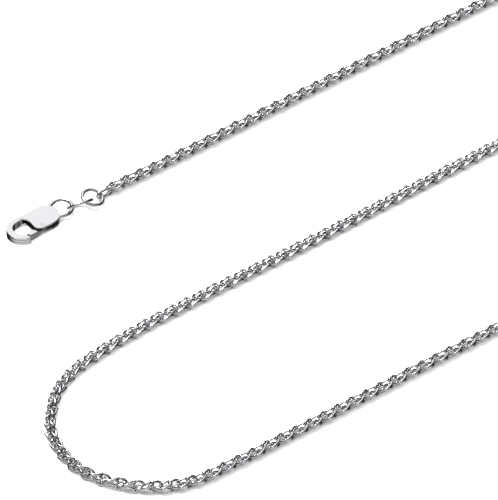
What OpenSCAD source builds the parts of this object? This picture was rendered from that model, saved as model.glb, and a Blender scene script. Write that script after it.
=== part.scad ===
// A wheat chain necklace with a lobster claw clasp, lying open on a flat surface.
// The long strands run along X, +Z is up, and the underside of the chain lies at z = 0.

/* [Chain] */
// Width of the chain over its links
chain_d = 1.9; // [1.6:0.1:2.4]
// Length of chain left between the last chosen point of its route and its free end
tail_l = 9; // [2:1:14]

/* [End links] */
// Diameter of the wire of a link
link_wire_d = 0.42; // [0.34:0.02:0.44]
// Outside length of a link
link_l = 2.5; // [2.4:0.1:3.4]
// Outside width of a link
link_w = 1.45; // [1.4:0.05:1.8]

/* [Clasp] */
// Thickness of the clasp, from its lower face to its upper face
clasp_t = 1.2; // [1.1:0.1:1.6]
// Thickness of each of the clasp's two plates
plate_t = 0.25; // [0.15:0.05:0.3]
// Radius of the outline round the hook
hook_r = 2.3; // [2.2:0.05:2.6]
// Radius of the outline round the rear end
rear_r = 2.05; // [2:0.05:2.4]
// Distance from the hook's centre to the centre of the rear end
body_l = 4.45; // [4.3:0.05:5.2]
// Radius of the opening that the hook bends round
opening_r = 1.5; // [1.3:0.05:1.6]
// Thickness of the wall between the plates, along the clasp's closed side
spine_t = 0.5; // [0.4:0.05:0.7]
// Radius of the post that holds the clasp's ring
post_r = 0.2; // [0.2:0.05:0.3]

/* [Lever] */
// Radius of the lever's pin
pin_r = 0.25; // [0.2:0.05:0.3]
// Clearance all round the pin in the lever
pin_gap = 0.04; // [0.02:0.01:0.08]
// Radius of the lever's round end, about the pin
lever_r = 0.68; // [0.55:0.01:0.75]
// Thickness of the lever's arm, between the plates
arm_t = 0.5; // [0.4:0.05:0.6]
// Distance from the hook's centre to the pin, along the clasp
pivot_u = 2.9; // [2.8:0.05:3.1]

/* [Rings] */
// Outside diameter of the ring in the clasp
clasp_ring_d = 3.85; // [3.6:0.05:4.1]
// Wire diameter of the ring in the clasp
clasp_ring_wire = 0.56; // [0.44:0.02:0.6]
// Outside diameter of the thin ring in the middle
middle_ring_d = 4.08; // [3.9:0.02:4.3]
// Wire diameter of the thin ring in the middle
middle_ring_wire = 0.36; // [0.3:0.02:0.4]
// Outside diameter of the ring that holds the chain
chain_ring_d = 3.55; // [3.4:0.05:3.8]
// Wire diameter of the ring that holds the chain
chain_ring_wire = 0.55; // [0.44:0.01:0.6]
// Outside diameter of the ring on the free end
end_ring_d = 4.2; // [3.8:0.1:5]
// Wire diameter of the ring on the free end
end_ring_wire = 0.5; // [0.4:0.02:0.56]

/* [Hidden] */
$fn = 48;

silver = "#d9dadc";
bright_silver = "#e6e7e9";

// Small gap left between wires, links and plates that touch on the real chain
touch_gap = 0.1;

// The route of the chain's centre line, seen from above, from its first link to its free end.
// The clasp's strand runs right, turns back in a half circle, and comes left again; after the
// bend at the left the last strand runs right to the free end.
route = [
    [-34.65, 27.8], [-22.5, 27.75], [-4.5, 27.95], [13.5, 28.1], [31.5, 28.3], [49.5, 28.4], [61, 28.4],
    [66.1, 27.4], [70.5, 24.5], [73.4, 20.1], [74.4, 15], [73.4, 9.9], [70.5, 5.5], [66.1, 2.6],
    [61, 1.6], [49, 1.55], [31, 1.5], [13, 1.4], [-5, 1.1], [-23, 0.9], [-41, 0.9], [-50, 0.7],
    [-57.4, 0.1], [-62.4, -0.8], [-66.8, -2.7], [-70.1, -5.5], [-72.7, -8.9], [-74.1, -12.9],
    [-74.4, -17], [-73.7, -20.2], [-72.1, -23.2], [-69.6, -26.2], [-66.4, -28.4], [-62.5, -29.7],
    [-57, -30], [-45, -30.1], [-27, -30.1], [-9, -30.1], [9, -30], [27, -29.8], [45, -29.5],
    [60, -29.2]];
route_end = route[len(route) - 1];
points = concat(route, [[route_end.x + tail_l, route_end.y]]);

chain_r = chain_d / 2;
tube_sides = 8;
// An octagon drawn round the chain's circle, flat side down
tube_corner_r = chain_r / cos(180 / tube_sides);
// Longest stretch of tube between two of its rings
ring_step = 6.1;

function between(p, i) = norm(p[i + 1] - p[i]);

// Direction of the smooth route at one of its points, from the chords on both sides
function heading(p, i) =
    let (last = len(p) - 1,
         before = i == 0 ? 0 : between(p, i - 1),
         after = i == last ? 0 : between(p, i))
    i == 0 ? (p[1] - p[0]) / after :
    i == last ? (p[last] - p[last - 1]) / before :
    ((p[i] - p[i - 1]) / before * after + (p[i + 1] - p[i]) / after * before) / (before + after);

// A point of the smooth curve between points i and i + 1, at share t of the way
function on_curve(p, i, t) =
    let (chord = between(p, i))
    (2 * t ^ 3 - 3 * t ^ 2 + 1) * p[i] + (t ^ 3 - 2 * t ^ 2 + t) * chord * heading(p, i)
    + (3 * t ^ 2 - 2 * t ^ 3) * p[i + 1] + (t ^ 3 - t ^ 2) * chord * heading(p, i + 1);

function curve_points(p) = [
    for (i = [0 : len(p) - 2])
        let (steps = ceil(between(p, i) / ring_step))
        for (k = [0 : steps - 1]) on_curve(p, i, k / steps),
    p[len(p) - 1]];

centres = curve_points(points);

// Plain tube with flat ends, swept along flat points at one height
module tube(centres, height, corner_r) {
    rings = [for (i = [0 : len(centres) - 1])
        let (ahead = heading(centres, i), side = [-ahead.y, ahead.x] / norm(ahead))
        for (k = [0 : tube_sides - 1])
            let (turn = (k + 0.5) * 360 / tube_sides, out = corner_r * cos(turn))
            [centres[i].x + out * side.x, centres[i].y + out * side.y, height + corner_r * sin(turn)]];
    last_ring = (len(centres) - 1) * tube_sides;
    walls = [for (i = [0 : len(centres) - 2], k = [0 : tube_sides - 1])
        let (here = i * tube_sides + k, next = i * tube_sides + (k + 1) % tube_sides)
        [here, here + tube_sides, next + tube_sides, next]];
    polyhedron(rings, concat(walls,
        [[for (k = [0 : tube_sides - 1]) k]],
        [[for (k = [tube_sides - 1 : -1 : 0]) last_ring + k]]));
}

// Unit vector in the plane of a ring whose axis leans by lean towards the compass angle az,
// at the angle psi round the ring from its lowest point
function on_ring(az, lean, psi) =
    cos(psi) * [cos(lean) * cos(az), cos(lean) * sin(az), -sin(lean)]
    + sin(psi) * [-sin(az), cos(az), 0];

module ring(centre, outer_d, wire, az, lean) {
    translate(centre) rotate([0, lean, az])
        rotate_extrude() translate([(outer_d - wire) / 2, 0]) circle(d = wire);
}

// Straight-sided oval link, long along X and standing upright
module oval_link(centre) {
    bend_r = (link_w - link_wire_d) / 2;
    straight = link_l - link_w;
    translate(centre) rotate([90, 0, 0]) {
        for (side = [0, 180]) rotate(side) translate([straight / 2, 0]) {
            rotate(-90) rotate_extrude(angle = 180) translate([bend_r, 0]) circle(d = link_wire_d);
            translate([-straight, bend_r]) rotate([0, 90, 0]) cylinder(d = link_wire_d, h = straight);
        }
    }
}

// How far the centres of two wires of one crossing lie apart
function crossing(wire_a, wire_b) = (wire_a + wire_b) / 2 + touch_gap;

// Leans of the three rings: the compass angle that each leans towards, and by how much
clasp_ring_turn = [-172, 9];
middle_ring_turn = [80.8, 44];
chain_ring_turn = [-60, 15];
// Places on the rings where their neighbours cross them, as angles from the lowest point
clasp_ring_cross = 138;
middle_ring_cross = [46, -62];
chain_ring_cross = [-108, 58];

clasp_ring_r = (clasp_ring_d - clasp_ring_wire) / 2;
middle_ring_r = (middle_ring_d - middle_ring_wire) / 2;
chain_ring_r = (chain_ring_d - chain_ring_wire) / 2;

function along(turn, psi) = on_ring(turn[0], turn[1], psi);

// The pieces from the clasp's post to the chain, one after the other, in the clasp's own place
post_at = [body_l + rear_r - post_r, 0.5, 0];
// How far the middle of the clasp's ring lies above the middle of the clasp
ring_rise = 0.2;
clasp_ring_lift = clasp_t / 2 + ring_rise;
clasp_ring_here = post_at + [clasp_ring_r - clasp_ring_wire / 2 - post_r - touch_gap, 0, clasp_ring_lift];
middle_ring_here = clasp_ring_here + clasp_ring_r * along(clasp_ring_turn, clasp_ring_cross)
    - (middle_ring_r - crossing(middle_ring_wire, clasp_ring_wire)) * along(middle_ring_turn, middle_ring_cross[0]);
chain_ring_here = middle_ring_here
    + (middle_ring_r - crossing(middle_ring_wire, chain_ring_wire)) * along(middle_ring_turn, middle_ring_cross[1])
    - chain_ring_r * along(chain_ring_turn, chain_ring_cross[0]);
first_link_here = chain_ring_here + chain_ring_r * along(chain_ring_turn, chain_ring_cross[1])
    + [link_l / 2 - link_wire_d / 2 - crossing(chain_ring_wire, link_wire_d), 0, 0];
chain_start_here = first_link_here + [link_l / 2 + touch_gap, 0, 0];

// The clasp's place puts the end of that row at the start of the chain
clasp_at = [route[0].x - chain_start_here.x, route[0].y - chain_start_here.y, 0];

// The free end: the last link stands upright and its ring leans through it
end_ring_turn = [-90, 14];
chain_end = points[len(points) - 1];
last_link_at = [chain_end.x + touch_gap + link_l / 2, chain_end.y, chain_r];
end_ring_r = (end_ring_d - end_ring_wire) / 2;
end_ring_at = last_link_at
    + [link_l / 2 - link_wire_d / 2 - crossing(end_ring_wire, link_wire_d) + end_ring_r, 0, 0];

// Shape of the clasp, seen from above, with the hook's centre at the origin
rear_centre = [body_l, 0.29];
hook_centre = [0, -0.12];
opening_centre = [0.15, -0.08];
// Edge of the plates beside the opening: from their lower side, which it meets behind the lever,
// forward to the front corner, then up in a soft S and round into the opening's upper side
plate_edge = [[4.3, -1.85], [2.65, -1.75], [1.95, -1.55], [1.7, -1.25], [1.62, -0.8], [1.66, -0.3],
              [1.74, 0.3], [1.75, 0.8], [1.65, 1.2], [1.45, 1.5], [1.15, 1.6], [0.85, 1.55]];
// Where the solid hook ends and the room between the plates begins
hook_end = 1.2;
// Hook's tip: where its end face leaves the opening's arc, and the point that the face aims at
tip_turn = 240;
tip_outer = [0.05, -2.7];
// Lever's head: corners of its upper face
head_tip = [-0.03, -1.36];
head_foot = [0.1, -2.05];
head_back = [1.43, -1.95];
head_neck = [1, -1.15];
head_play = 0.05;
pivot = [pivot_u, -1.12];
// Inner edge of the lever's arm, and how far before the pin it ends
arm_inner = -0.62;
arm_shoulder = 0.3;
// Tail that the spring pushes on: its end, and its radius at both ends
lever_tail = [4.3, -0.95];
lever_tail_r = 0.25;
lever_root_r = 0.4;
// A length greater than the clasp's width, for cuts that go right across it
across = 5;

// Points along a round stretch of an outline
function arc(centre, r, from, to, steps = 24) =
    [for (k = [0 : steps]) let (turn = from + (to - from) * k / steps)
        centre + r * [cos(turn), sin(turn)]];

// Angle at which a line that touches two circles leaves them, measured from the line of centres
function touch_angle(c1, r1, c2, r2) = acos((r1 - r2) / norm(c2 - c1));

// Outline drawn tightly round two circles
module wrap(c1, r1, c2, r2) {
    base = atan2(c2.y - c1.y, c2.x - c1.x);
    swing = touch_angle(c1, r1, c2, r2);
    polygon(concat(arc(c1, r1, base + swing, base + 360 - swing),
                   arc(c2, r2, base - swing, base + swing)));
}

module clasp_outline(inset = 0) {
    wrap(hook_centre, hook_r - inset, rear_centre, rear_r - inset);
}

// The opening inside the hook, with the mouth that the lever closes
module hook_opening() {
    polygon(concat(arc(opening_centre, opening_r, 90, tip_turn),
        [tip_outer, [plate_edge[0].x, tip_outer.y]], plate_edge));
}

// Wall along the closed side, inside the line that touches both ends of the outline
module spine() {
    lean = atan2(rear_centre.y - hook_centre.y, body_l) + touch_angle(hook_centre, hook_r, rear_centre, rear_r);
    hook_top = hook_centre + hook_r * [cos(lean), sin(lean)];
    rear_top = rear_centre + rear_r * [cos(lean), sin(lean)];
    polygon([hook_top - [0, spine_t], rear_top - [0, spine_t], rear_top + [0, spine_t], hook_top + [0, spine_t]]);
}

// Room between the plates for the lever and for the ring
module between_plates() {
    difference() {
        clasp_outline(-touch_gap);
        spine();
        translate([hook_end - across, -across]) square([across, 2 * across]);
        translate([post_at.x, post_at.y]) circle(post_r);
    }
}

module clasp_body() {
    color(bright_silver) translate(clasp_at) difference() {
        linear_extrude(clasp_t) difference() {
            clasp_outline();
            hook_opening();
        }
        translate([0, 0, plate_t]) linear_extrude(clasp_t - 2 * plate_t) between_plates();
        translate([pivot.x, pivot.y, -touch_gap]) cylinder(r = pin_r, h = clasp_t + 2 * touch_gap);
    }
}

module lever_head() {
    polygon([head_tip, head_foot, head_back, head_neck]);
}

module lever_arm() {
    polygon([head_tip, head_foot, head_back, pivot + [0, -lever_r], pivot,
             [pivot.x - arm_shoulder, arm_inner], head_neck]);
    translate(pivot) circle(lever_r);
    wrap(pivot, lever_root_r, lever_tail, lever_tail_r);
}

module clasp_lever() {
    color(silver) translate(clasp_at) difference() {
        union() {
            translate([0, 0, head_play]) linear_extrude(clasp_t - 2 * head_play) lever_head();
            translate([0, 0, (clasp_t - arm_t) / 2]) linear_extrude(arm_t) lever_arm();
        }
        translate([pivot.x, pivot.y, 0]) cylinder(r = pin_r + pin_gap, h = clasp_t);
    }
}

module lever_pin() {
    color(silver) translate(clasp_at + [pivot.x, pivot.y, 0]) cylinder(r = pin_r, h = clasp_t);
}

module clasp_ring() {
    color(silver) ring(clasp_at + clasp_ring_here, clasp_ring_d, clasp_ring_wire,
        clasp_ring_turn[0], clasp_ring_turn[1]);
}

module middle_ring() {
    color(silver) ring(clasp_at + middle_ring_here, middle_ring_d, middle_ring_wire,
        middle_ring_turn[0], middle_ring_turn[1]);
}

module chain_ring() {
    color(silver) ring(clasp_at + chain_ring_here, chain_ring_d, chain_ring_wire,
        chain_ring_turn[0], chain_ring_turn[1]);
}

module end_ring() {
    color(silver) ring(end_ring_at, end_ring_d, end_ring_wire, end_ring_turn[0], end_ring_turn[1]);
}

module first_link() {
    color(silver) oval_link(clasp_at + first_link_here);
}

module last_link() {
    color(silver) oval_link(last_link_at);
}

module chain() {
    color(silver) tube(centres, chain_r, tube_corner_r);
}

chain();
first_link();
last_link();
clasp_body();
clasp_lever();
lever_pin();
clasp_ring();
middle_ring();
chain_ring();
end_ring();
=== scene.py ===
# %% [markdown]
# # A wheat chain necklace with a lobster claw clasp
#
# The necklace lies open on a white table. Nearly all of it is chain: some 350 small links of bent wire, each
# threaded through the one before it. A lobster clasp and three jump rings hold one end, and a plain ring is
# on the other. The CAD model gives the places and sizes of the hard pieces. This lesson loads it, keeps it
# in place, and builds the visible wire and the polished finish around it.

import math

import bpy
import numpy as np
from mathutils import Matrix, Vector


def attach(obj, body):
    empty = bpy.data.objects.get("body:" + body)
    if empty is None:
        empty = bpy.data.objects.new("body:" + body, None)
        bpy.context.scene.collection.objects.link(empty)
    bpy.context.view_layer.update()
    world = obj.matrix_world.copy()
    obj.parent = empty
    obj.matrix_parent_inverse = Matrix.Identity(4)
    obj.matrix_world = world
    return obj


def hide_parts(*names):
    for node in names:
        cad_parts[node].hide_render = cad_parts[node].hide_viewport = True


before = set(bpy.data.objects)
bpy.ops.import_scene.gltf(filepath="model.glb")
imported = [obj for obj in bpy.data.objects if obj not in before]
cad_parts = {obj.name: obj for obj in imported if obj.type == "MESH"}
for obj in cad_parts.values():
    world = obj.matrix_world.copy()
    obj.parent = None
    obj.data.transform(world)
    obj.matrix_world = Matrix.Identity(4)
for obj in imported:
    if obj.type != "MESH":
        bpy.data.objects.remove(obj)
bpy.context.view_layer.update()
NECKLACE = "necklace"
print("CAD nodes:", sorted(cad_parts))

# %% [markdown]
# Every length on the drawing of a small jewel is in millimetres, and the scene is in metres. One helper turns
# a drawing length into scene metres, so that nearly all numbers below can be read as millimetres.

# %% Millimetres to metres
MM = 0.001


def mm(*values):
    """Drawing millimetres as scene metres: a number, or a point"""
    return values[0] * MM if len(values) == 1 else Vector(values) * MM


print("1 mm is", mm(1), "m")

# %% [markdown]
# ## The camera
#
# The picture was taken from above and at a slant to the strands, with a long lens, which keeps the three of
# them almost parallel. The camera is set first, since everything after it is seen through it.

# %% Camera
LOOK_AT = mm(-27.2, 4.9, 0.95)
TURN, TILT = math.radians(37.7), math.radians(40.3)
DISTANCE = mm(1114)
LENS_LENGTH, FILM_WIDTH = 561.6, 36
NEAREST, FARTHEST = 0.05, 20
LOOK = Vector((math.sin(TURN) * math.cos(TILT), math.cos(TURN) * math.cos(TILT), -math.sin(TILT)))

camera_data = bpy.data.cameras.new("table_camera")
camera_data.lens = LENS_LENGTH
camera_data.sensor_width = FILM_WIDTH
camera_data.clip_start = NEAREST
camera_data.clip_end = FARTHEST
camera = bpy.data.objects.new("table_camera", camera_data)
bpy.context.collection.objects.link(camera)
camera.location = LOOK_AT - LOOK * DISTANCE
camera.rotation_euler = LOOK.to_track_quat("-Z", "Y").to_euler()
bpy.context.scene.camera = camera
print("camera at", [round(v, 3) for v in camera.location])

# %% [markdown]
# ## The finish: polished silver
#
# Polished silver has almost no colour of its own. What makes it look real is how its gloss varies: faint rub
# marks from wear run over it, the surface is never quite flat, and a trace of tarnish stays where cloth
# doesn't reach. A few helpers first, because every material and the sky are node trees.

# %% Small helpers for node trees
def wire_up(tree, source, target):
    """Joins two sockets of a node tree"""
    tree.links.new(source, target)


def math_node(tree, operation, a, b=None, clamp=False):
    """Output of a Math node whose inputs are numbers or sockets"""
    node = tree.nodes.new("ShaderNodeMath")
    node.operation = operation
    node.use_clamp = clamp
    for socket, value in zip(node.inputs, (a, b)):
        if value is None:
            continue
        if isinstance(value, (int, float)):
            socket.default_value = value
        else:
            wire_up(tree, value, socket)
    return node.outputs[0]


def smooth_fade(tree, value, start, stop, first, last):
    """Output that goes smoothly from first to last while the value goes from start to stop"""
    fade = tree.nodes.new("ShaderNodeMapRange")
    fade.interpolation_type = "SMOOTHSTEP"
    wire_up(tree, value, fade.inputs["Value"])
    for name, number in (("From Min", start), ("From Max", stop), ("To Min", first), ("To Max", last)):
        fade.inputs[name].default_value = number
    return fade.outputs["Result"]


def colour_mix(tree, mask, under, over):
    """Two colours mixed by a mask; each is a fixed colour or a socket"""
    mix = tree.nodes.new("ShaderNodeMix")
    mix.data_type = "RGBA"
    wire_up(tree, mask, mix.inputs[0])
    for socket, colour in zip([s for s in mix.inputs if s.type == "RGBA"], (under, over)):
        if isinstance(colour, tuple):
            socket.default_value = (*colour, 1)
        else:
            wire_up(tree, colour, socket)
    return [s for s in mix.outputs if s.type == "RGBA"][0]


print("node helpers ready")

# %% [markdown]
# All the metals share the same wear, so it goes in one shader node group, and each material places the group
# with its own values. It reads Object coordinates in metres, so a noise scale of 700 makes patches about
# 1.4 mm wide. Rub marks are a stretched noise, which reads as short fine lines. The group puts out a tarnish
# mask, a roughness and a height.

# %% The shared wear group
PATCH_DETAIL, RUB_DETAIL = 3, 2
RUB_SCALE = 2600
RUB_STRETCH, RUB_TURN = (1, 7, 3), (0.3, 0.2, 0.7)
RUB_GAIN, RUB_SHARPNESS = 1.25, 5
TARNISH_START, TARNISH_GAIN = 0.5, 2.4
TARNISH_ROUGHNESS = 0.22
PATCH_HEIGHT, RUB_HEIGHT = 0.7, 0.3
WEAR_INPUTS = (("Polish", 0.08), ("Rub marks", 0.10), ("Tarnish", 0.3), ("Patch scale", 900.0))


def noise_field(tree, where, detail):
    """Noise texture node on the given coordinates"""
    noise = tree.nodes.new("ShaderNodeTexNoise")
    noise.inputs["Detail"].default_value = detail
    wire_up(tree, where, noise.inputs["Vector"])
    return noise


def silver_wear_group():
    """Node group with the wear of polished silver: tarnish mask, roughness and height"""
    tree = bpy.data.node_groups.new("silver_wear", "ShaderNodeTree")
    for name, value in WEAR_INPUTS:
        socket = tree.interface.new_socket(name, in_out="INPUT", socket_type="NodeSocketFloat")
        socket.default_value = value
    for name in ("Tarnish mask", "Roughness", "Height"):
        tree.interface.new_socket(name, in_out="OUTPUT", socket_type="NodeSocketFloat")
    start = tree.nodes.new("NodeGroupInput")
    end = tree.nodes.new("NodeGroupOutput")
    where = tree.nodes.new("ShaderNodeTexCoord").outputs["Object"]

    patches = noise_field(tree, where, PATCH_DETAIL)
    wire_up(tree, start.outputs["Patch scale"], patches.inputs["Scale"])
    stretch = tree.nodes.new("ShaderNodeMapping")
    stretch.inputs["Scale"].default_value = RUB_STRETCH
    stretch.inputs["Rotation"].default_value = RUB_TURN
    wire_up(tree, where, stretch.inputs["Vector"])
    rubs = noise_field(tree, stretch.outputs["Vector"], RUB_DETAIL)
    rubs.inputs["Scale"].default_value = RUB_SCALE
    marks = math_node(tree, "MULTIPLY", rubs.outputs["Fac"], RUB_GAIN, clamp=True)
    marks = math_node(tree, "POWER", marks, RUB_SHARPNESS)

    cloud = math_node(tree, "SUBTRACT", patches.outputs["Fac"], TARNISH_START)
    cloud = math_node(tree, "MULTIPLY", cloud, TARNISH_GAIN, clamp=True)
    mask = math_node(tree, "MULTIPLY", cloud, start.outputs["Tarnish"], clamp=True)
    wire_up(tree, mask, end.inputs["Tarnish mask"])

    rubbed = math_node(tree, "MULTIPLY", marks, start.outputs["Rub marks"])
    rough = math_node(tree, "ADD", start.outputs["Polish"], rubbed)
    rough = math_node(tree, "ADD", rough, math_node(tree, "MULTIPLY", mask, TARNISH_ROUGHNESS), clamp=True)
    wire_up(tree, rough, end.inputs["Roughness"])

    waves = math_node(tree, "MULTIPLY", patches.outputs["Fac"], PATCH_HEIGHT)
    height = math_node(tree, "ADD", waves, math_node(tree, "MULTIPLY", marks, RUB_HEIGHT))
    wire_up(tree, height, end.inputs["Height"])
    return tree


WEAR = silver_wear_group()
print("wear group puts out", [s.name for s in WEAR.interface.items_tree if s.in_out == "OUTPUT"])

# %% [markdown]
# A metal is then short to write: a clean colour, a tarnished colour mixed in by the mask, and a bump a few
# micrometres high. A Bevel node bends the normals next to each edge, so that sharp CAD edges catch the light
# as softened ones do. The chain's wire is a little duller than the clasp's plates, which are polished flat.

# %% The silver material
UM = 1e-6
BUMP_STRENGTH = 0.6
EDGE_SAMPLES = 4


def silver(name, clean, tarnished, polish, rub_marks, tarnish, patch_scale, bump_um, edge_radius):
    """Worn polished silver; the edge radius is in millimetres and the bump in micrometres"""
    material = bpy.data.materials.new(name)
    material.use_nodes = True
    tree = material.node_tree
    shader = tree.nodes["Principled BSDF"]
    shader.inputs["Metallic"].default_value = 1
    wear = tree.nodes.new("ShaderNodeGroup")
    wear.node_tree = WEAR
    wear.inputs["Polish"].default_value = polish
    wear.inputs["Rub marks"].default_value = rub_marks
    wear.inputs["Tarnish"].default_value = tarnish
    wear.inputs["Patch scale"].default_value = patch_scale
    colour = colour_mix(tree, wear.outputs["Tarnish mask"], clean, tarnished)
    wire_up(tree, colour, shader.inputs["Base Color"])
    wire_up(tree, wear.outputs["Roughness"], shader.inputs["Roughness"])

    soft_edges = tree.nodes.new("ShaderNodeBevel")
    soft_edges.samples = EDGE_SAMPLES
    soft_edges.inputs["Radius"].default_value = mm(edge_radius)
    bump = tree.nodes.new("ShaderNodeBump")
    bump.inputs["Strength"].default_value = BUMP_STRENGTH
    bump.inputs["Distance"].default_value = bump_um * UM
    wire_up(tree, soft_edges.outputs["Normal"], bump.inputs["Normal"])
    wire_up(tree, wear.outputs["Height"], bump.inputs["Height"])
    wire_up(tree, bump.outputs["Normal"], shader.inputs["Normal"])
    return material


CHAIN_SILVER = silver("chain_silver", clean=(0.90, 0.90, 0.92), tarnished=(0.62, 0.60, 0.58), polish=0.10,
                      rub_marks=0.16, tarnish=0.30, patch_scale=700, bump_um=12, edge_radius=0.05)
CLASP_SILVER = silver("clasp_silver", clean=(0.82, 0.82, 0.84), tarnished=(0.62, 0.60, 0.58), polish=0.06,
                      rub_marks=0.12, tarnish=0.16, patch_scale=420, bump_um=8, edge_radius=0.10)
RING_SILVER = silver("ring_silver", clean=(0.82, 0.82, 0.84), tarnished=(0.66, 0.64, 0.61), polish=0.08,
                     rub_marks=0.14, tarnish=0.24, patch_scale=560, bump_um=10, edge_radius=0.05)
print("metals:", CHAIN_SILVER.name, CLASP_SILVER.name, RING_SILVER.name)

# %% [markdown]
# Two fine grooves run round the clasp's side wall, one above and one below the middle of its height. They are
# only a tenth of a millimetre wide and aren't modelled: the shade inside them is painted as a dark line in
# the clasp's metal, and the height above the table says where it goes.

# %% Painted shade of the grooves in the clasp's side wall
GROOVES_MIDDLE, GROOVES_APART, GROOVE_WIDTH = mm(0.6), mm(0.42), mm(0.12)
# Dark grey of the painted shade inside the grooves
GROOVE_SHADE_COLOUR = (0.22, 0.22, 0.23)


def paint_groove_shade(material):
    """Paints the shade inside the two grooves as dark lines over the colour that a material has so far"""
    tree = material.node_tree
    base_colour = tree.nodes["Principled BSDF"].inputs["Base Color"]
    place = tree.nodes.new("ShaderNodeSeparateXYZ")
    wire_up(tree, tree.nodes.new("ShaderNodeTexCoord").outputs["Object"], place.inputs[0])
    from_middle = math_node(tree, "SUBTRACT", place.outputs["Z"], GROOVES_MIDDLE)
    from_middle = math_node(tree, "ABSOLUTE", from_middle)
    from_groove = math_node(tree, "SUBTRACT", from_middle, GROOVES_APART / 2)
    from_groove = math_node(tree, "ABSOLUTE", from_groove)
    # Painted shade: a dark line at the height of each of the two grooves
    groove_shade = smooth_fade(tree, from_groove, GROOVE_WIDTH / 4, GROOVE_WIDTH / 2, 1.0, 0.0)
    with_groove_shade = colour_mix(tree, groove_shade, base_colour.links[0].from_socket, GROOVE_SHADE_COLOUR)
    wire_up(tree, with_groove_shade, base_colour)


paint_groove_shade(CLASP_SILVER)
print("grooves", round(GROOVE_WIDTH / MM, 2), "mm wide")

# %% [markdown]
# ## One link of the chain
#
# A wheat link is an oval of wire that is folded in half. Its middle is the bottom of the fold, and its two
# ends are loops, or ears, which are turned a quarter turn out to the sides. The next link, rolled a quarter
# turn, passes its middle through both ears. The link is the same on its left and on its right, so the centre
# line of one half is enough: from the fold's front wire, along the ear's outer side to its tip, and back
# along its inner side to the fold's back wire.

# %% Centre line of a link
# Millimetres along the chain, out to the ear's side, and up
FRONT_OF_FOLD = [(0.00, 0.00, 0.50), (0.05, 0.20, 0.50), (0.15, 0.40, 0.45), (0.40, 0.60, 0.40)]
OUTER_SIDE = [(0.80, 0.65, 0.25), (1.05, 0.75, 0.15), (1.35, 0.80, 0.10)]
EAR_TIP = [(1.60, 0.65, 0.05), (1.65, 0.45, 0.00), (1.60, 0.30, 0.00)]
INNER_SIDE = [(1.30, 0.15, -0.05), (0.75, 0.30, -0.15), (0.50, 0.35, -0.25)]
BACK_OF_FOLD = [(0.30, 0.35, -0.35), (0.05, 0.20, -0.45), (0.00, 0.00, -0.50)]
HALF_LINK = FRONT_OF_FOLD + OUTER_SIDE + EAR_TIP + INNER_SIDE + BACK_OF_FOLD
LINK_WIRE = 0.42
LINK_PITCH = 1.25
LINK_RINGS, WIRE_SIDES = 20, 5
FINE_STEPS = np.arange(0, 1, 0.05)


def smooth_between(a, b, c, d, t):
    """Point on a smooth curve from b to c, which has a before it and d after it"""
    bend = 2 * a - 5 * b + 4 * c - d
    swing = 3 * b - a - 3 * c + d
    return 0.5 * (2 * b + (c - a) * t + bend * t**2 + swing * t**3)


def closed_curve(points, count):
    """Evenly spaced points on a smooth closed curve through the given ones, and its length"""
    n = len(points)
    fine = []
    for i in range(n):
        around = [np.array(points[(i + k) % n]) for k in (-1, 0, 1, 2)]
        fine += [smooth_between(*around, t) for t in FINE_STEPS]
    fine = np.array(fine)
    steps = np.linalg.norm(np.roll(fine, -1, 0) - fine, axis=1)
    run = np.concatenate([[0], np.cumsum(steps)])
    fine = np.vstack([fine, fine[:1]])
    wanted = np.arange(count) * run[-1] / count
    return np.array([[np.interp(s, run, fine[:, k]) for k in range(3)] for s in wanted]), run[-1]


whole_link = HALF_LINK + [(x, -y, z) for x, y, z in HALF_LINK[-2:0:-1]]
link_centres, link_length = closed_curve(whole_link, LINK_RINGS)
print("a link takes", round(link_length, 2), "mm of wire")

# %% [markdown]
# The wire round a closed curve has to meet itself without a step. A frame is carried along the curve without
# twist, and the small angle by which it misses at the end is spread over all the rings. Twenty rings of five
# sides are few, but a link is only about 2 mm long and the chain has hundreds of them.

# %% Sweeping wire round a closed curve
# Any direction that isn't along the wire at its first ring
SLANTED = (0.31, 0.52, 0.79)


def wire_loop(name, centres, wire, sides, material):
    """Closed tube of wire round the centre points, all in millimetres"""
    n = len(centres)
    ahead = np.roll(centres, -1, 0) - np.roll(centres, 1, 0)
    ahead /= np.linalg.norm(ahead, axis=1)[:, None]
    side = np.cross(ahead[0], SLANTED)
    frames = [side / np.linalg.norm(side)]
    for i in range(1, n + 1):
        side = frames[-1] - ahead[i % n] * (frames[-1] @ ahead[i % n])
        frames.append(side / np.linalg.norm(side))
    miss = math.atan2(np.cross(frames[n], frames[0]) @ ahead[0], frames[n] @ frames[0])
    corners = []
    faces = []
    for i in range(n):
        across = np.cross(ahead[i], frames[i])
        here, there = i * sides, (i + 1) % n * sides
        for k in range(sides):
            angle = miss * i / n + 2 * math.pi * k / sides
            outwards = math.cos(angle) * frames[i] + math.sin(angle) * across
            corners.append((centres[i] + wire / 2 * outwards) * MM)
            beside = (k + 1) % sides
            faces.append((here + k, here + beside, there + beside, there + k))
    mesh = bpy.data.meshes.new(name)
    mesh.from_pydata(corners, [], faces)
    mesh.polygons.foreach_set("use_smooth", [True] * len(faces))
    mesh.materials.append(material)
    mesh.update()
    return mesh


link_mesh = wire_loop("wheat_link", link_centres, LINK_WIRE, WIRE_SIDES, CHAIN_SILVER)
link_pattern = bpy.data.objects.new("wheat_link", link_mesh)
print("a link has", len(link_mesh.polygons), "faces")

# %% [markdown]
# ## The route
#
# The chain follows the same route as its CAD tube, so the route's points are repeated here. The tube's own
# rule joins them: at each point the curve heads between the two chords that meet there, and the nearer chord
# counts for more.

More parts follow.
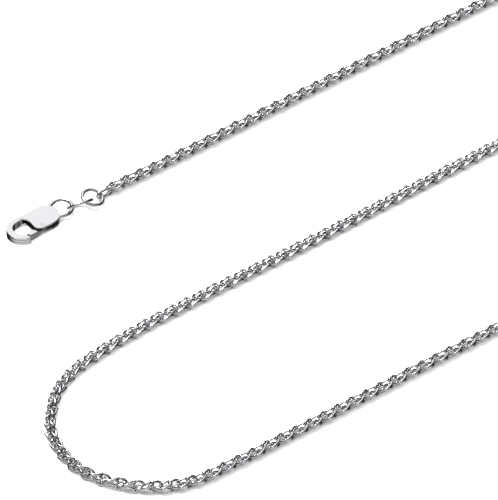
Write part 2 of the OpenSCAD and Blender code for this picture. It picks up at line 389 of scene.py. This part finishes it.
# %% Route of the chain
ROUTE = [
    (-34.65, 27.8), (-22.5, 27.75), (-4.5, 27.95), (13.5, 28.1), (31.5, 28.3), (49.5, 28.4), (61, 28.4),
    (66.1, 27.4), (70.5, 24.5), (73.4, 20.1), (74.4, 15), (73.4, 9.9), (70.5, 5.5), (66.1, 2.6),
    (61, 1.6), (49, 1.55), (31, 1.5), (13, 1.4), (-5, 1.1), (-23, 0.9), (-41, 0.9), (-50, 0.7),
    (-57.4, 0.1), (-62.4, -0.8), (-66.8, -2.7), (-70.1, -5.5), (-72.7, -8.9), (-74.1, -12.9),
    (-74.4, -17), (-73.7, -20.2), (-72.1, -23.2), (-69.6, -26.2), (-66.4, -28.4), (-62.5, -29.7),
    (-57, -30), (-45, -30.1), (-27, -30.1), (-9, -30.1), (9, -30), (27, -29.8), (45, -29.5),
    (60, -29.2), (69, -29.2)]


def heading(points, i):
    """Direction of the route at one of its points"""
    if i == 0 or i == len(points) - 1:
        chord = points[1] - points[0] if i == 0 else points[-1] - points[-2]
        return chord / np.linalg.norm(chord)
    before, after = points[i] - points[i - 1], points[i + 1] - points[i]
    b, a = np.linalg.norm(before), np.linalg.norm(after)
    return (before / b * a + after / a * b) / (a + b)


def on_route(points, i, t):
    """Point of the route at share t of the way from point i to the next"""
    chord = np.linalg.norm(points[i + 1] - points[i])
    return ((2 * t**3 - 3 * t**2 + 1) * points[i]
            + (t**3 - 2 * t**2 + t) * chord * heading(points, i)
            + (3 * t**2 - 2 * t**3) * points[i + 1]
            + (t**3 - t**2) * chord * heading(points, i + 1))


route_points = np.array(ROUTE)
route_line = [on_route(route_points, i, t) for i in range(len(ROUTE) - 1) for t in FINE_STEPS]
route_line = np.array(route_line + [route_points[-1]])
route_steps = np.linalg.norm(np.diff(route_line, axis=0), axis=1)
route_run = np.concatenate([[0], np.cumsum(route_steps)])
print("the chain is", round(route_run[-1], 1), "mm long")

# %% [markdown]
# The first wheat link hooks its ears round the plain oval link by the clasp, so its fold lies a little way
# into the route. The last one folds round the oval link at the free end, a little past the route's end. A
# whole number of links that fits that length sets the real pitch.

# %% How many links
FIRST_FOLD, PAST_END = 0.95, 0.73
AXIS_HEIGHT = 1.04
links_run = route_run[-1] + PAST_END - FIRST_FOLD
link_count = round(links_run / LINK_PITCH) + 1


def route_at(s):
    """Place on the route s millimetres from its start; past its end it goes straight on"""
    beyond = max(0.0, s - route_run[-1])
    x, y = (np.interp(min(s, route_run[-1]), route_run, route_line[:, k]) for k in (0, 1))
    return x + beyond, y


print(link_count, "links,", round(links_run / (link_count - 1), 4), "mm apart")

# %% [markdown]
# A chain doesn't lie at one roll all along. This one turns about its own length on its way round the half
# turn, and turns back in the bend on the left. The roll is kept with the route as a named attribute, set at
# a few places and blended between them.

# %% Route curve with its roll
# Millimetres along the route, and degrees
ROLL_AT = [(0, 94), (70, 94), (180, 240), (256, 240), (300, 94), (434, 94)]
SPOT_STEP = 0.5


def route_mesh():
    """The route as a line of points, each with the chain's roll there"""
    end = route_run[-1] + PAST_END
    spots = np.append(np.arange(FIRST_FOLD, end, SPOT_STEP), end)
    places = [mm(*route_at(s), AXIS_HEIGHT) for s in spots]
    mesh = bpy.data.meshes.new("chain_route")
    mesh.from_pydata(places, [(i, i + 1) for i in range(len(spots) - 1)], [])
    rolls = np.radians(np.interp(spots, [s for s, _ in ROLL_AT], [roll for _, roll in ROLL_AT]))
    mesh.attributes.new("roll", "FLOAT", "POINT").data.foreach_set("value", rolls)
    line = bpy.data.objects.new("chain_route", mesh)
    bpy.context.collection.objects.link(line)
    return line


route = route_mesh()
print("the route has", len(route.data.vertices), "points")

# %% [markdown]
# ## The chain, with Geometry Nodes
#
# Some three hundred and fifty links in a row are a job for Geometry Nodes. This first part of the tree says
# how each link is turned. Its ears look back towards the clasp, it takes the route's roll, and every second
# link is turned a quarter turn as well. A small random turn comes last, because no two links of a real chain
# lie quite alike.

# %% How each link is turned
def scaled(tree, vector, factor):
    """Output of a node that scales a vector; each is a fixed value or a socket"""
    scale = tree.nodes.new("ShaderNodeVectorMath")
    scale.operation = "SCALE"
    for socket, value in ((scale.inputs[0], vector), (scale.inputs["Scale"], factor)):
        if isinstance(value, (int, tuple)):
            socket.default_value = value
        else:
            wire_up(tree, value, socket)
    return scale.outputs[0]


def turned_by(tree, rotation, further):
    """A rotation followed by a further one about the link's own axes"""
    turned = tree.nodes.new("FunctionNodeRotateRotation")
    turned.rotation_space = "LOCAL"
    wire_up(tree, rotation, turned.inputs["Rotation"])
    wire_up(tree, further, turned.inputs["Rotate By"])
    return turned.outputs[0]


def link_rotation(tree, start, tangent):
    """Rotation of each link, from the route's direction there and the tree's inputs"""
    lay = tree.nodes.new("FunctionNodeAxesToRotation")
    lay.primary_axis, lay.secondary_axis = "X", "Z"
    lay.inputs["Secondary Axis"].default_value = (0, 0, 1)
    wire_up(tree, scaled(tree, tangent, -1), lay.inputs["Primary Axis"])

    index = tree.nodes.new("GeometryNodeInputIndex").outputs[0]
    is_second = math_node(tree, "FLOORED_MODULO", index, 2)
    own_turn = math_node(tree, "MULTIPLY", is_second, start.outputs["Turn between links"])
    roll = tree.nodes.new("GeometryNodeInputNamedAttribute")
    roll.inputs["Name"].default_value = "roll"
    spin = tree.nodes.new("FunctionNodeAxisAngleToRotation")
    spin.inputs["Axis"].default_value = (1, 0, 0)
    wire_up(tree, math_node(tree, "ADD", own_turn, roll.outputs["Attribute"]), spin.inputs["Angle"])

    loose = tree.nodes.new("FunctionNodeRandomValue")
    loose.data_type = "FLOAT_VECTOR"
    wire_up(tree, scaled(tree, (-1, -1, -1), start.outputs["Looseness"]), loose.inputs["Min"])
    wire_up(tree, scaled(tree, (1, 1, 1), start.outputs["Looseness"]), loose.inputs["Max"])
    wire_up(tree, start.outputs["Seed"], loose.inputs["Seed"])
    sway = tree.nodes.new("FunctionNodeEulerToRotation")
    wire_up(tree, loose.outputs["Value"], sway.inputs[0])
    return turned_by(tree, turned_by(tree, lay.outputs[0], spin.outputs[0]), sway.outputs[0])


print("rotation helpers ready")

# %% [markdown]
# The whole tree places points along the route, lays a link at each with that rotation, makes the links plain
# mesh with Realize Instances, and gives them their metal. Its sizes are named inputs, so the same tree could
# lay any other chain.

# %% The tree that lays the links
TREE_INPUTS = (("Route", "Geometry"), ("Link", "Object"), ("Count", "Int"), ("Turn between links", "Float"),
               ("Looseness", "Float"), ("Seed", "Int"), ("Finish", "Material"))


def chain_tree():
    """Geometry Nodes tree that lays links along a route"""
    tree = bpy.data.node_groups.new("lay_links", "GeometryNodeTree")
    for name, kind in TREE_INPUTS:
        tree.interface.new_socket(name, in_out="INPUT", socket_type="NodeSocket" + kind)
    tree.interface.new_socket("Chain", in_out="OUTPUT", socket_type="NodeSocketGeometry")
    start = tree.nodes.new("NodeGroupInput")
    end = tree.nodes.new("NodeGroupOutput")

    line = tree.nodes.new("GeometryNodeMeshToCurve")
    wire_up(tree, start.outputs["Route"], line.inputs[0])
    spots = tree.nodes.new("GeometryNodeCurveToPoints")
    spots.mode = "COUNT"
    wire_up(tree, line.outputs[0], spots.inputs["Curve"])
    wire_up(tree, start.outputs["Count"], spots.inputs["Count"])

    link = tree.nodes.new("GeometryNodeObjectInfo")
    wire_up(tree, start.outputs["Link"], link.inputs["Object"])
    place = tree.nodes.new("GeometryNodeInstanceOnPoints")
    wire_up(tree, spots.outputs["Points"], place.inputs["Points"])
    wire_up(tree, link.outputs["Geometry"], place.inputs["Instance"])
    wire_up(tree, link_rotation(tree, start, spots.outputs["Tangent"]), place.inputs["Rotation"])

    real = tree.nodes.new("GeometryNodeRealizeInstances")
    wire_up(tree, place.outputs[0], real.inputs[0])
    finish = tree.nodes.new("GeometryNodeSetMaterial")
    wire_up(tree, real.outputs[0], finish.inputs["Geometry"])
    wire_up(tree, start.outputs["Finish"], finish.inputs["Material"])
    wire_up(tree, finish.outputs[0], end.inputs["Chain"])
    return tree


lay_links = chain_tree()
print("tree inputs:", [s.name for s in lay_links.interface.items_tree if s.in_out == "INPUT"])

# %% [markdown]
# A modifier's inputs are set by the identifier of each socket, not by its name. When the modifier has been
# evaluated, its result is kept as a plain mesh, and the route and the pattern link have done their work. The
# finished chain rides on the necklace's body and takes the place of the CAD tube.

# %% Laying the chain
QUARTER_TURN = math.radians(-90)
LOOSENESS = math.radians(2.0)
SEED = 5


def set_inputs(modifier, values):
    """Sets a node modifier's inputs, given by their names"""
    items = modifier.node_group.interface.items_tree
    sockets = {s.name: s.identifier for s in items if s.in_out == "INPUT"}
    for name, value in values.items():
        modifier[sockets[name]] = value


def plain_result(source, name):
    """The evaluated result of an object's modifiers as a new plain object"""
    depsgraph = bpy.context.evaluated_depsgraph_get()
    mesh = bpy.data.meshes.new_from_object(source.evaluated_get(depsgraph), depsgraph=depsgraph)
    mesh.name = name
    piece = bpy.data.objects.new(name, mesh)
    bpy.context.collection.objects.link(piece)
    return piece


laid = route.modifiers.new("lay_links", "NODES")
laid.node_group = lay_links
set_inputs(laid, {"Link": link_pattern, "Count": link_count, "Turn between links": QUARTER_TURN,
                  "Looseness": LOOSENESS, "Seed": SEED, "Finish": CHAIN_SILVER})
wheat_chain = plain_result(route, "wheat_chain")
route.modifiers.remove(laid)
bpy.data.objects.remove(route)
bpy.data.objects.remove(link_pattern)
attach(wheat_chain, NECKLACE)
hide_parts("chain")
lowest = min(v.co.z for v in wheat_chain.data.vertices)
print("chain:", len(wheat_chain.data.polygons), "faces, lowest point", round(lowest / MM, 3), "mm")

# %% [markdown]
# ## The finish on the CAD pieces
#
# The clasp, the rings and the end links already have their right shape in CAD. They get their metal, and the
# Bevel node and the painted shade of the grooves in the clasp's metal do the rest.

# %% Metal on the CAD pieces
METALS = {"clasp_body": CLASP_SILVER, "clasp_lever": CLASP_SILVER, "lever_pin": CLASP_SILVER,
          "clasp_ring": RING_SILVER, "middle_ring": RING_SILVER, "chain_ring": RING_SILVER,
          "end_ring": RING_SILVER, "first_link": CHAIN_SILVER, "last_link": CHAIN_SILVER}
for node_name, metal in METALS.items():
    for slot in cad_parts[node_name].material_slots:
        slot.material = metal
print("finished", len(METALS), "CAD pieces")

# %% [markdown]
# ## Table and light
#
# The table is a plain white sheet, lit so brightly that it shows almost as pure white. The silver doesn't
# mirror it, because a mirrored white table would leave no dark edge on any wire.

# %% Table
TABLE_HALF_WIDTH = 3.0
SHEET_COLOUR = (0.93, 0.93, 0.94)
SHEET_ROUGHNESS, SHEET_GLOSS = 0.55, 0.2


def table_top():
    """White sheet at height 0, kept apart from the necklace"""
    half = TABLE_HALF_WIDTH
    mesh = bpy.data.meshes.new("table_top")
    corners = [(-half, -half, 0), (half, -half, 0), (half, half, 0), (-half, half, 0)]
    mesh.from_pydata(corners, [], [(0, 1, 2, 3)])
    material = bpy.data.materials.new("white_sheet")
    material.use_nodes = True
    shader = material.node_tree.nodes["Principled BSDF"]
    shader.inputs["Base Color"].default_value = (*SHEET_COLOUR, 1)
    shader.inputs["Roughness"].default_value = SHEET_ROUGHNESS
    shader.inputs["Specular IOR Level"].default_value = SHEET_GLOSS
    mesh.materials.append(material)
    top = bpy.data.objects.new("table_top", mesh)
    bpy.context.collection.objects.link(top)
    top.visible_glossy = False
    return top


table = table_top()
print("table is", table.dimensions.x, "m wide")

# %% [markdown]
# Two wide lamps light the table and don't show in the silver, so they can be as strong as the white sheet
# needs. A small key lamp high up at the left gives the metal its sharp highlights.

# %% Lamps
RIGHT = Vector((math.cos(TURN), -math.sin(TURN), 0))
BACK = Vector((math.sin(TURN), math.cos(TURN), 0))


def beside(place, right, back, up):
    """A place moved by so many metres to the camera's right, away from it, and up"""
    return place + RIGHT * right + BACK * back + Vector((0, 0, up))


def softbox(name, place, size, watts, mirrored=True):
    """Square soft lamp that looks at the necklace; one that isn't mirrored lights the table alone"""
    data = bpy.data.lights.new(name, "AREA")
    data.size = size
    data.energy = watts
    lamp = bpy.data.objects.new(name, data)
    bpy.context.collection.objects.link(lamp)
    lamp.location = place
    lamp.rotation_euler = (LOOK_AT - place).to_track_quat("-Z", "Y").to_euler()
    lamp.visible_glossy = mirrored
    return lamp


softbox("table_softbox", beside(LOOK_AT, -0.55, 0.45, 1.0), size=1.2, watts=9.0, mirrored=False)
softbox("ceiling_softbox", beside(LOOK_AT, 0, 0, 1.5), size=3.0, watts=62.0, mirrored=False)
softbox("key_softbox", beside(LOOK_AT, -0.40, 0.15, 0.9), size=0.30, watts=4.0)

# %% [markdown]
# Silver shows nothing but its surroundings, so the sky matters more than the lamps. It has one wide bright
# glow overhead, towards the back, and a grey one below the horizon on the near side, where the table would
# be. All the rest is close to black, and that draws the dark edges along each wire.

# %% Sky
ORIGIN = Vector((0, 0, 0))
OVERHEAD = beside(ORIGIN, -0.15, 0.42, 0.9).normalized()
NEAR_SIDE = beside(ORIGIN, 0, -0.76, -0.65)


def sky_glow(tree, direction, toward, edge, core, dim, bright):
    """Brightness that rises from dim to bright as the direction turns toward one way"""
    likeness = tree.nodes.new("ShaderNodeVectorMath")
    likeness.operation = "DOT_PRODUCT"
    likeness.inputs[1].default_value = toward
    wire_up(tree, direction, likeness.inputs[0])
    return smooth_fade(tree, likeness.outputs["Value"], edge, core, dim, bright)


def studio_sky():
    """Surroundings that the silver mirrors: two soft glows in near black"""
    world = bpy.data.worlds.new("studio")
    bpy.context.scene.world = world
    world.use_nodes = True
    tree = world.node_tree
    direction = tree.nodes.new("ShaderNodeTexCoord").outputs["Generated"]
    overhead = sky_glow(tree, direction, OVERHEAD, edge=0.66, core=0.84, dim=0.03, bright=1.04)
    near_side = sky_glow(tree, direction, NEAR_SIDE, edge=0.2, core=0.95, dim=0.0, bright=0.65)
    brightness = math_node(tree, "ADD", overhead, near_side)
    wire_up(tree, brightness, tree.nodes["Background"].inputs["Color"])
    return world


sky = studio_sky()
bpy.context.scene.view_settings.view_transform = "Standard"
print("sky:", sky.name)
